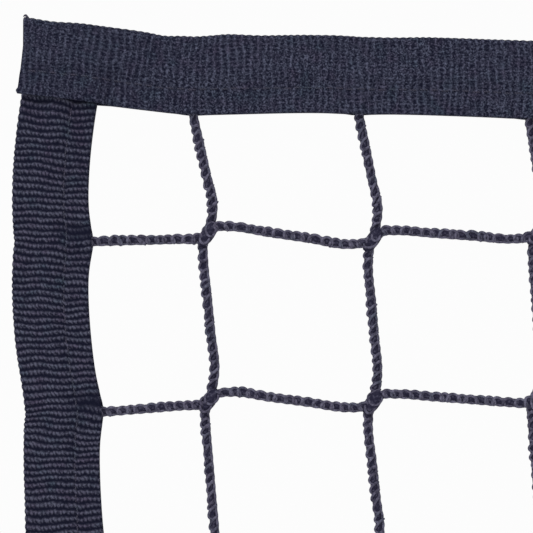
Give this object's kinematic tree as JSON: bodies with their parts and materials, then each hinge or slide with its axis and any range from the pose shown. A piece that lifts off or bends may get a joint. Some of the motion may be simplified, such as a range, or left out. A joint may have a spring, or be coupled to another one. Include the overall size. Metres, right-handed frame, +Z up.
{
  "type": "tennis net",
  "caption": "Small recreational tennis net of knotless plaited cord in a square mesh, edged on all four sides with dark navy webbing folded and sewn over the border",
  "frame": {"origin": "the middle of the head tape's folded top edge, where the hanging net is held", "axes": "+X along the net, +Z up, +Y through the net's thickness, so the front face looks towards -Y"},
  "size_m": [2.9914, 0.0082, 0.7865],
  "materials": {
    "webbing": "ribbed woven webbing, matt with a faint sheen",
    "mesh_cord": "plaited cord, soft sheen",
    "thread": "sewing thread, matt"
  },
  "bodies": {
    "root": {"head_tape": "webbing", "foot_tape": "webbing", "left_side_tape": "webbing", "right_side_tape": "webbing", "head_tape_seam": "thread", "foot_tape_seam": "thread", "left_tape_seam": "thread", "right_tape_seam": "thread", "edge_row_top": "mesh_cord", "mesh_row_01": "mesh_cord", "mesh_row_02": "mesh_cord", "mesh_row_03": "mesh_cord", "mesh_row_04": "mesh_cord", "mesh_row_05": "mesh_cord", "mesh_row_06": "mesh_cord", "mesh_row_07": "mesh_cord", "mesh_row_08": "mesh_cord", "mesh_row_09": "mesh_cord", "mesh_row_10": "mesh_cord", "mesh_row_11": "mesh_cord", "mesh_row_12": "mesh_cord", "mesh_row_13": "mesh_cord", "mesh_row_14": "mesh_cord", "mesh_row_15": "mesh_cord", "mesh_row_16": "mesh_cord", "edge_row_bottom": "mesh_cord", "edge_column_left": "mesh_cord", "mesh_columns_01_05": "mesh_cord", "mesh_columns_06_10": "mesh_cord", "mesh_columns_11_15": "mesh_cord", "mesh_columns_16_20": "mesh_cord", "mesh_columns_21_25": "mesh_cord", "mesh_columns_26_30": "mesh_cord", "mesh_columns_31_35": "mesh_cord", "mesh_columns_36_40": "mesh_cord", "mesh_columns_41_45": "mesh_cord", "mesh_columns_46_50": "mesh_cord", "mesh_columns_51_55": "mesh_cord", "mesh_columns_56_60": "mesh_cord", "mesh_columns_61_65": "mesh_cord", "edge_column_right": "mesh_cord"}
  },
  "joints": []
}
